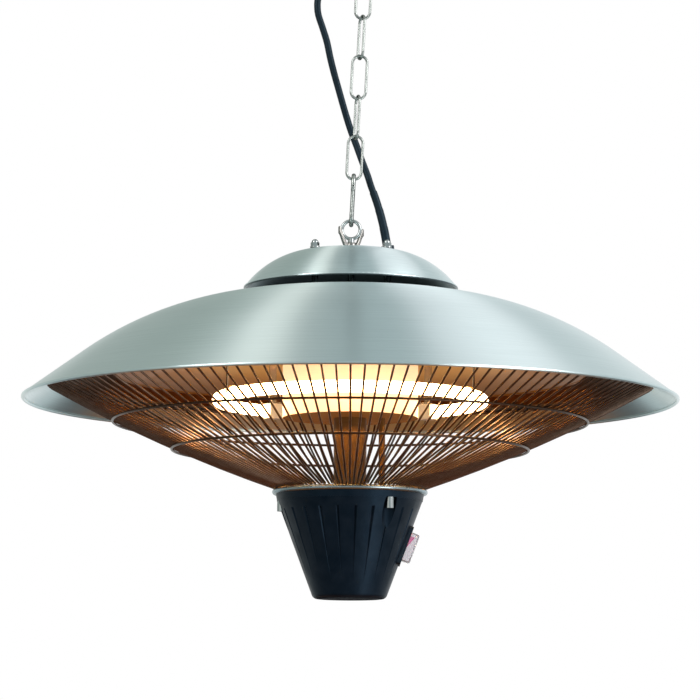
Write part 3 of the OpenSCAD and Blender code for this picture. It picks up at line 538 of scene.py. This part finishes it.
def build_turned_brushing():
    """Fine lines round the heater's axis, as a disc brush leaves them."""
    g, given, made = new_group(
        "turned_brushing", [PLACE, ("Fineness", "Float", 900.0), ("Streaks", "Float", 0.5)],
        [("Tone", "Float"), ("Height", "Float")])
    height_share, turn_share, streak_scale = 0.6, 0.0011, 55.0
    radius, x, y, z = from_axis(g, given["Position"])
    across = math_node(g, "ADD", radius, math_node(g, "MULTIPLY", z, height_share))
    along = math_node(g, "MULTIPLY", math_node(g, "ARCTAN2", x, y), turn_share)
    line = vector_of(g, across, along)
    fine = noise(g, line, given["Fineness"], detail=4.0, roughness=0.62, flat=True)
    broad = noise(g, line, streak_scale, flat=True)
    feed(g, mixed(g, given["Streaks"], fine, broad, kind="FLOAT"), made["Tone"])
    feed(g, fine, made["Height"])
    return g


def build_surface_wear():
    """Smudges, a little dust on faces that look up, and small specks."""
    g, given, made = new_group(
        "surface_wear",
        [PLACE, FACING, ("Color", "Color", (0.5, 0.5, 0.5, 1.0)), ("Dust", "Float", 0.1),
         ("Smudge", "Float", 0.1), ("Scale", "Float", 30.0)],
        [("Color", "Color"), ("Roughening", "Float"), ("Height", "Float")])
    speck_scale, speck_floor, blot_from, blot_to, dust_from = 24.0, 0.25, 0.42, 0.72, 0.2
    smudge_color, dust_color = (0.74, 0.74, 0.75, 1.0), (0.52, 0.51, 0.49, 1.0)
    blots = noise(g, given["Position"], given["Scale"], detail=5.0)
    specks = noise(g, given["Position"],
                   math_node(g, "MULTIPLY", given["Scale"], speck_scale))
    lies = spread(g, parts(g, given["Facing"])[2], dust_from, 1.0)
    dusty = math_node(g, "MULTIPLY", math_node(g, "MULTIPLY", lies, given["Dust"]),
                      math_node(g, "ADD", specks, speck_floor), clamp=True)
    smudged = math_node(g, "MULTIPLY", spread(g, blots, blot_from, blot_to), given["Smudge"])
    darker = mixed(g, smudged, given["Color"], smudge_color, blend="MULTIPLY")
    feed(g, mixed(g, dusty, darker, dust_color), made["Color"])
    feed(g, math_node(g, "ADD", smudged, dusty), made["Roughening"])
    feed(g, specks, made["Height"])
    return g


def build_moulded_grain():
    """The fine pebbled skin of moulded plastic and rubber, and broad faint patches."""
    g, given, made = new_group("moulded_grain", [PLACE, ("Scale", "Float", 1500.0)],
                               [("Grain", "Float"), ("Patch", "Float")])
    patch_scale = 0.03
    cells = node(g, "TexVoronoi", feature="SMOOTH_F1")
    feed_all(g, cells, Vector=given["Position"], Scale=given["Scale"])
    patches = noise(g, given["Position"],
                    math_node(g, "MULTIPLY", given["Scale"], patch_scale), detail=3.0)
    feed(g, cells.outputs["Distance"], made["Grain"])
    feed(g, patches, made["Patch"])
    return g


def build_lamp_reach():
    """How near a place is to the ring of the lamp, from 0 to 1."""
    g, given, made = new_group("lamp_reach", [PLACE, ("Reach", "Float", 0.12)],
                               [("Near", "Float")])
    falloff = 1.5
    radius, _, _, z = from_axis(g, given["Position"])
    off = math_node(g, "SUBTRACT", radius, LAMP_RING * MM)
    share = math_node(g, "DIVIDE", length_of(g, vector_of(g, off, z)), given["Reach"])
    near = math_node(g, "SUBTRACT", 1.0, share, clamp=True)
    feed(g, math_node(g, "POWER", near, falloff), made["Near"])
    return g


def build_inner_side():
    """1 on the faces that look down inside a radius round the heater's axis."""
    g, given, made = new_group("inner_side", [PLACE, FACING, ("Radius", "Float", 0.27)],
                               [("Inside", "Float")])
    edge_steepness, looks_down = 200.0, -0.1
    radius = from_axis(g, given["Position"])[0]
    short = math_node(g, "SUBTRACT", given["Radius"], radius)
    within = math_node(g, "MULTIPLY_ADD", short, edge_steepness, 0.5, clamp=True)
    down = math_node(g, "LESS_THAN", parts(g, given["Facing"])[2], looks_down)
    feed(g, math_node(g, "MULTIPLY", within, down), made["Inside"])
    return g


BRUSHING = build_turned_brushing()
WEAR = build_surface_wear()
GRAIN = build_moulded_grain()
REACH = build_lamp_reach()
INSIDE = build_inner_side()


# ---------------------------------------------------------------- materials
DRUM_RADIUS = 0.2                                   # metres; everything below the drum is in it
LINER_RADIUS = 0.273                                # metres; the shade's inner side, to its lip
FINISHES = {}                                       # every finish by its name


class Finish:
    """One material with its Principled shader and the usual position nodes."""

    def __init__(self, name, color, roughness, metallic=0.0, **constants):
        mat = bpy.data.materials.new(name)
        mat.use_nodes = True
        FINISHES[name] = mat
        self.tree = mat.node_tree
        self.bsdf = self.tree.nodes["Principled BSDF"]
        self.rough = roughness
        self.use(Base_Color=(*color, 1.0), Roughness=roughness, Metallic=metallic, **constants)
        coords = node(self.tree, "TexCoord")
        shift = node(self.tree, "Mapping")
        feed_all(self.tree, shift, Vector=coords.outputs["Object"],
                 Location=tuple(-c for c in HEATER))
        self.given = {"Position": shift.outputs[0], "Facing": coords.outputs["Normal"]}

    def use(self, **values):
        """Feed the shader's inputs by name."""
        feed_all(self.tree, self.bsdf, **values)

    def group(self, g, **values):
        """A shared group, given the place and the way the surface faces."""
        n = node(self.tree, "Group", node_tree=g)
        asked = {key: value for key, value in self.given.items() if key in n.inputs}
        feed_all(self.tree, n, **asked, **values)
        return n.outputs

    def ramp(self, value, *stops):
        return ramp(self.tree, value, stops)

    def math(self, op, *values):
        return math_node(self.tree, op, *values)

    def wear(self, base, **amounts):
        """The base colour under smudges and dust."""
        w = self.group(WEAR, Color=base, **amounts)
        self.use(Base_Color=w["Color"])
        return w

    def roughen(self, value, share):
        """Roughness is the plain value plus a share of the given pattern."""
        self.use(Roughness=self.math("MULTIPLY_ADD", value, share, self.rough))

    def bump(self, height, strength, distance):
        n = node(self.tree, "Bump")
        feed_all(self.tree, n, Height=height, Strength=strength, Distance=distance)
        self.use(Normal=n.outputs[0])

    def painted_lamp_glow(self, reach, stops, under=None):
        """Painted lamp light: an emitted glow on a surface that is no lamp, brighter nearer the
        lamp's ring; faces that look down under the drum glow only with the dim under colour, as
        painted shade.
        """
        glow = self.ramp(self.group(REACH, Reach=reach)["Near"], *stops)
        # Painted shade: faces that look down under the drum take the dim under colour.
        if under is not None:
            below = self.group(INSIDE, Radius=DRUM_RADIUS)["Inside"]
            glow = mixed(self.tree, below, glow, (*under, 1.0))
        self.use(Emission_Color=glow, Emission_Strength=1.0)


def brushed_aluminium(name, inner):
    """Spun aluminium; the side that looks down, within the liner's radius, takes painted light in
    place of its own colour: the given colours, by the lamp's reach.
    """
    f = Finish(name, (0.62, 0.75, 0.755), 0.30, 1.0, Anisotropic=0.85, Anisotropic_Rotation=0.25)
    b = f.group(BRUSHING, Fineness=2600.0, Streaks=0.18)
    base = f.ramp(b["Tone"], (0.25, (0.60, 0.71, 0.715)), (0.5, (0.65, 0.76, 0.765)),
                  (0.75, (0.70, 0.81, 0.815)))
    # Painted light on the side that looks down: lamp light brightening towards the lamp, or
    # painted shade.
    painted_underside = f.ramp(f.group(REACH, Reach=0.26)["Near"], *inner)
    inside = f.group(INSIDE, Radius=LINER_RADIUS)["Inside"]
    w = f.wear(mixed(f.tree, inside, base, painted_underside), Dust=0.08, Smudge=0.12, Scale=9.0)
    f.roughen(w["Roughening"], 0.2)
    f.bump(b["Height"], strength=0.06, distance=0.0001)
    around = node(f.tree, "Tangent", direction_type="RADIAL", axis="Z")
    f.use(Tangent=around.outputs[0])


def bright_reflector():
    """The polished liner, with the lamp's amber light painted into its colour: an amber base,
    paler beside the lamp, and a painted glow.
    """
    f = Finish("bright_reflector", (0.62, 0.36, 0.13), 0.28, 1.0)
    b = f.group(BRUSHING, Fineness=420.0, Streaks=0.6)
    # Painted lamp light: amber tones in place of the metal's own colour, paler near the lamp's
    # ring.
    base = f.ramp(b["Tone"], (0.3, (0.17, 0.062, 0.010)), (0.7, (0.26, 0.105, 0.020)))
    near = f.group(REACH, Reach=0.11)["Near"]
    w = f.wear(mixed(f.tree, near, base, (0.80, 0.50, 0.20, 1.0)),
               Dust=0.0, Smudge=0.3, Scale=20.0)
    f.roughen(w["Roughening"], 0.35)
    f.bump(b["Height"], strength=0.12, distance=0.0003)
    # A painted glow of lamp light, brightest beside the lamp.
    f.painted_lamp_glow(0.16, [(0.0, (0.03, 0.009, 0.002)), (0.25, (0.06, 0.018, 0.002)),
                      (0.5, (0.17, 0.055, 0.006)), (0.7, (0.50, 0.22, 0.04)),
                      (0.85, (1.0, 0.66, 0.26))])


def hub_metal(name, low, high, reach, glow, under):
    """Metal of the drum and of the parts below it, in amber tones of painted lamp light, with
    painted shade darkening it underneath.
    """
    metallic, metallic_under = 0.9, 0.1
    # Painted shade: faces that look down under the drum turn almost black, rough and hardly
    # metallic.
    underside_shade_color, under_share = (0.02, 0.008, 0.002, 1.0), 0.75
    f = Finish(name, high, 0.36, metallic, Specular_IOR_Level=0.1)
    b = f.group(BRUSHING, Fineness=700.0, Streaks=0.5)
    base = f.ramp(b["Tone"], (0.25, low), (0.75, high))
    below = f.group(INSIDE, Radius=DRUM_RADIUS)["Inside"]
    side = mixed(f.tree, f.math("MULTIPLY", below, under_share), base, underside_shade_color)
    w = f.wear(side, Dust=0.05, Smudge=0.45, Scale=40.0)
    f.roughen(f.math("MAXIMUM", below, w["Roughening"]), 0.5)
    f.use(Metallic=f.math("MULTIPLY_ADD", below, metallic_under - metallic, metallic))
    f.bump(b["Height"], strength=0.12, distance=0.0002)
    f.painted_lamp_glow(reach, glow, under)


def plated(name, color, roughness, smudge, scale, pits, edge=1.0):
    """Plated steel: a bright skin with faint clouds and small pits, darker at its edges."""
    f = Finish(name, color, roughness, 1.0,
               Specular_Tint=(edge, edge * 1.04, edge * 1.02, 1.0))
    clouds = noise(f.tree, f.given["Position"], scale, detail=6.0)
    dark, pale = tuple(c * 0.86 for c in color), tuple(min(1, c * 1.06) for c in color)
    base = f.ramp(clouds, (0.3, dark), (0.55, color), (0.8, pale))
    w = f.wear(base, Dust=0.08, Smudge=smudge, Scale=scale * 0.8)
    f.roughen(w["Roughening"], 0.35)
    f.bump(w["Height"], strength=pits, distance=0.0002)


def grille_wire(name, dark, pale, near):
    """Wire with a smoky skin; towards the lamp its colour turns to the given warm one, a painted
    glow of lamp light.
    """
    f = Finish(name, pale, 0.29, 1.0)
    clouds = noise(f.tree, f.given["Position"], 160.0, detail=4.0)
    base = f.ramp(clouds, (0.3, dark), (0.7, pale))
    # Painted lamp light: the wire's colour goes warm near the lamp.
    close = f.group(REACH, Reach=0.2)["Near"]
    w = f.wear(mixed(f.tree, close, base, (*near, 1.0)), Dust=0.05, Smudge=0.3, Scale=60.0)
    f.roughen(w["Roughening"], 0.3)
    f.bump(w["Height"], strength=0.04, distance=0.0002)


def moulded(name, color, roughness, grain, depth, dust, sheen=(1.0, 1.0, 1.0), gloss=0.5,
            dull_below=None):
    """Moulded plastic, rubber or paint with a fine skin, duller below a height."""
    f = Finish(name, color, roughness, Specular_IOR_Level=gloss, Specular_Tint=(*sheen, 1.0))
    g = f.group(GRAIN, Scale=grain)
    lighter = tuple(min(1.0, c * 1.5 + 0.006) for c in color)
    base = f.ramp(g["Patch"], (0.3, color), (0.8, lighter))
    w = f.wear(base, Dust=dust, Smudge=0.25, Scale=50.0)
    if dull_below is None:
        f.roughen(w["Roughening"], 0.3)
    else:
        foot = f.math("LESS_THAN", parts(f.tree, f.given["Position"])[2], dull_below)
        f.roughen(f.math("MAXIMUM", foot, w["Roughening"]), 0.55)
    f.bump(g["Grain"], strength=depth, distance=0.0003)


def patchy(name, color, roughness, scale, low, high, depth, distance, glow=None, **constants):
    """A clean moulded or glassy skin between two tones, that may glow between two more."""
    f = Finish(name, color, roughness, **constants)
    g = f.group(GRAIN, Scale=scale)
    f.use(Base_Color=f.ramp(g["Patch"], (0.3, low), (0.8, high)))
    if glow is not None:
        f.use(Emission_Color=f.ramp(g["Patch"], (0.3, glow[0]), (0.8, glow[1])))
    f.bump(g["Grain"], strength=depth, distance=distance)


def filament_wire():
    """The white-hot wire, a little uneven along its length."""
    f = Finish("filament_wire", (0.9, 0.6, 0.3), 0.5, Emission_Strength=18.0)
    heat = noise(f.tree, f.given["Position"], 90.0)
    f.use(Emission_Color=f.ramp(heat, (0.3, (1.0, 0.50, 0.16)), (0.7, (1.0, 0.66, 0.30))))


# The shade's inner side: painted amber lamp light, brighter nearer the lamp.
brushed_aluminium("brushed_aluminium", [
    (0.0, (0.17, 0.068, 0.016)), (0.3, (0.20, 0.082, 0.020)), (1.0, (0.36, 0.17, 0.045))])
# The cap's underside: painted shade, dark and cool.
brushed_aluminium("cap_aluminium", [(0.0, (0.10, 0.13, 0.15)), (1.0, (0.14, 0.15, 0.15))])
bright_reflector()
# The drum: amber painted lamp light, a painted glow near the lamp and painted shade underneath.
hub_metal("hub_metal", (0.40, 0.22, 0.08), (0.56, 0.34, 0.13), reach=0.14,
          glow=[(0.0, (0.10, 0.035, 0.006)), (0.30, (0.55, 0.33, 0.12)),
                (0.47, (0.95, 0.88, 0.60))], under=(0.12, 0.034, 0.004))
# The centre post: dark amber painted lamp light, a faint painted glow and painted shade
# underneath.
hub_metal("post_metal", (0.07, 0.032, 0.010), (0.15, 0.07, 0.02), reach=0.2,
          glow=[(0.0, (0.004, 0.0015, 0.0005)), (0.5, (0.06, 0.022, 0.005))],
          under=(0.03, 0.01, 0.002))
plated("zinc_chain", (0.43, 0.45, 0.43), 0.17, smudge=0.3, scale=120.0, pits=0.001, edge=0.05)
plated("chrome_hardware", (0.50, 0.53, 0.53), 0.12, smudge=0.25, scale=100.0, pits=0.004,
       edge=0.12)
plated("collar_steel", (0.34, 0.42, 0.45), 0.24, smudge=0.25, scale=60.0, pits=0.01)
plated("nickel_wing", (0.34, 0.33, 0.31), 0.22, smudge=0.3, scale=150.0, pits=0.006, edge=0.2)
# The wires and hoops: the near colours are painted lamp light.
grille_wire("grille_wire", dark=(0.10, 0.072, 0.055), pale=(0.20, 0.152, 0.12),
            near=(0.165, 0.106, 0.066))
grille_wire("hoop_wire", dark=(0.05, 0.034, 0.026), pale=(0.09, 0.062, 0.047),
            near=(0.13, 0.07, 0.035))
moulded("dark_housing", (0.002, 0.005, 0.010), 0.36, grain=2600.0, depth=0.10, dust=0.01,
        sheen=(0.36, 0.66, 1.0), gloss=0.22, dull_below=-0.1803)
moulded("black_plastic", (0.007, 0.010, 0.015), 0.5, grain=1700.0, depth=0.2, dust=0.03,
        sheen=(0.5, 0.75, 1.0))
moulded("black_rubber", (0.004, 0.008, 0.012), 0.42, grain=1300.0, depth=0.12, dust=0.015,
        sheen=(0.5, 0.78, 1.0), gloss=0.3)
moulded("ceramic", (0.72, 0.70, 0.64), 0.7, grain=900.0, depth=0.3, dust=0.0)
patchy("clear_boot", (0.93, 0.94, 0.94), 0.16, scale=700.0, low=(0.82, 0.82, 0.85),
       high=(0.96, 0.95, 0.96), depth=0.08, distance=0.0003, IOR=1.25,
       Transmission_Weight=0.85)
patchy("red_rocker", (0.62, 0.02, 0.20), 0.25, scale=900.0, low=(0.52, 0.012, 0.16),
       high=(0.70, 0.05, 0.26), depth=0.06, distance=0.0002,
       glow=((0.60, 0.02, 0.22), (0.80, 0.07, 0.34)), Emission_Strength=0.55)
patchy("quartz", (0.98, 0.95, 0.88), 0.06, scale=400.0, low=(0.98, 0.93, 0.84),
       high=(1.0, 0.98, 0.94), depth=0.03, distance=0.0002,
       glow=((1.0, 0.56, 0.25), (1.0, 0.64, 0.31)), IOR=1.45, Transmission_Weight=0.9,
       Emission_Strength=5.5)
filament_wire()

# The nodes with a finish other than their slot's.
OWN_FINISH = {"top_cap": "cap_aluminium", "centre_post": "post_metal", "lead_tube": "post_metal",
              "grille_hoops": "hoop_wire", "grille_collar": "collar_steel"}
for row in frame["record"]["subparts"]:
    for name in row.get("nodes") or [row.get("node")]:
        obj = frame["nodes"].get(name)
        if obj is None:
            continue
        finish = FINISHES[OWN_FINISH.get(name, row["material_slot"])]
        if not obj.material_slots:
            obj.data.materials.append(finish)
        for s in obj.material_slots:
            s.material = finish

OWN_PIECES = [(piece, "black_rubber") for piece in cord_pieces + [coil]]
OWN_PIECES += [(wire, "filament_wire"), (boot, "clear_boot"), (wings, "nickel_wing"),
               (plug, "black_plastic")]
for piece, name in OWN_PIECES:
    piece.data.materials.clear()
    piece.data.materials.append(FINISHES[name])


# ---------------------------------------------------------------- studio
# What the metal sees round the room, from behind the heater through the left, the camera's side
# and the right to behind it again, as places from 0 to 1.
PANELS = [(0.00, (0.82, 0.83, 0.82)), (0.07, (0.70, 0.73, 0.71)), (0.15, (0.43, 0.47, 0.445)),
          (0.33, (0.38, 0.43, 0.40)), (0.362, (0.39, 0.43, 0.41)), (0.378, (1.0, 1.0, 0.955)),
          (0.420, (1.0, 1.0, 0.955)), (0.440, (0.43, 0.465, 0.455)), (0.50, (0.465, 0.53, 0.535)),
          (0.572, (0.455, 0.52, 0.53)), (0.597, (0.88, 0.89, 0.91)), (0.73, (0.925, 0.925, 0.945)),
          (0.752, (0.62, 0.67, 0.68)), (0.88, (0.83, 0.86, 0.87)), (1.00, (0.93, 0.93, 0.93))]
# Their brightness falls from full to faint between these two heights of the direction seen.
FADE_LOW, FADE_HIGH, FAINT, FULL = -0.42, -0.16, 0.10, 1.08

FLOOR_SIZE, FLOOR_HEIGHT = 14.0, -2.35
# What the metal sees on the floor: a painted pool of the lamp's amber light, a ring of painted
# shade and a pale ring far out.
PAINTED_POOL = [(0.29, (0.36, 0.11, 0.012)), (0.44, (0.085, 0.088, 0.095)),
        (0.64, (0.085, 0.088, 0.095)), (0.92, (0.78, 0.84, 0.86))]
POOL_SHIFT = (0.0, -0.8, 0.0)                       # moves the painted pool of lamp light 0.8 m away from the camera
POOL_SHARE = 0.2                                    # the way along the rings for each metre

# Name, place, the point it looks at, size and power.
SOFTBOXES = [("left_softbox", (-1.9, -1.6, 0.9), (0, 0, -0.5), (0.8, 1.6), 22),
             ("right_softbox", (2.2, -1.2, 0.8), (0, 0, -0.5), (1.4, 1.6), 34),
             ("low_right_softbox", (1.5, -1.3, -1.5), (0, 0, -0.62), (1.1, 1.2), 14)]


def studio_world():
    """White to the eye; metal sees tall pale and grey panels round the room."""
    world = bpy.data.worlds.new("studio")
    bpy.context.scene.world = world
    world.use_nodes = True
    t = world.node_tree
    t.nodes.clear()
    x, y, z = parts(t, node(t, "TexCoord").outputs["Generated"])
    turn = math_node(t, "ARCTAN2", x, math_node(t, "SUBTRACT", 1.0, y))
    share = math_node(t, "MULTIPLY_ADD", turn, 1 / math.pi, 0.5)
    room = node(t, "Background")
    feed_all(t, room, Color=ramp(t, share, PANELS),
             Strength=spread(t, z, FADE_LOW, FADE_HIGH, FAINT, FULL))
    white = node(t, "Background")
    feed_all(t, white, Color=(1, 1, 1, 1), Strength=1.0)
    ray = node(t, "LightPath").outputs
    seen = math_node(t, "MAXIMUM", ray["Is Camera Ray"], ray["Is Transmission Ray"])
    mix = node(t, "MixShader")
    for value, into in zip((seen, room.outputs[0], white.outputs[0]), mix.inputs):
        feed(t, value, into)
    feed(t, mix.outputs[0], node(t, "OutputWorld").inputs[0])
    return t


def soft_lamp(name, where, at, size, power):
    """A soft box that stands at one place and looks at another."""
    data = bpy.data.lights.new(name, "AREA")
    data.shape = "RECTANGLE"
    data.size, data.size_y = size
    data.energy = power
    obj = bpy.data.objects.new(name, data)
    bpy.context.scene.collection.objects.link(obj)
    obj.location = where
    obj.rotation_euler = (Vector(at) - Vector(where)).to_track_quat("-Z", "Y").to_euler()


def studio_floor():
    """A pale floor to the eye, and to the metal above it a painted pool of lamp light and a ring
    of painted shade.
    """
    floor = begin("studio_floor", bpy.ops.mesh.primitive_plane_add, size=FLOOR_SIZE,
                  location=(0, 0.0, FLOOR_HEIGHT))
    mat = bpy.data.materials.new("studio_floor")
    mat.use_nodes = True
    t = mat.node_tree
    bsdf = t.nodes["Principled BSDF"]
    coords = node(t, "TexCoord").outputs["Object"]
    pale = ramp(t, noise(t, coords, 3.0), [(0.0, (0.86,) * 3), (1.0, (0.92,) * 3)])
    centred = node(t, "Mapping")
    feed_all(t, centred, Vector=coords, Location=POOL_SHIFT)
    away = math_node(t, "MULTIPLY", length_of(t, centred.outputs[0]), POOL_SHARE)
    eye = node(t, "LightPath").outputs["Is Camera Ray"]
    feed_all(t, bsdf, Roughness=0.8, Base_Color=mixed(t, eye, ramp(t, away, PAINTED_POOL), pale))
    floor.data.materials.append(mat)
    return t


trees = [studio_world(), studio_floor(), BRUSHING, WEAR, GRAIN, REACH, INSIDE]
for tree in trees + [finish.node_tree for finish in FINISHES.values()]:
    lay_out(tree)
for settings in SOFTBOXES:
    soft_lamp(*settings)
bpy.context.scene.view_settings.view_transform = "Standard"
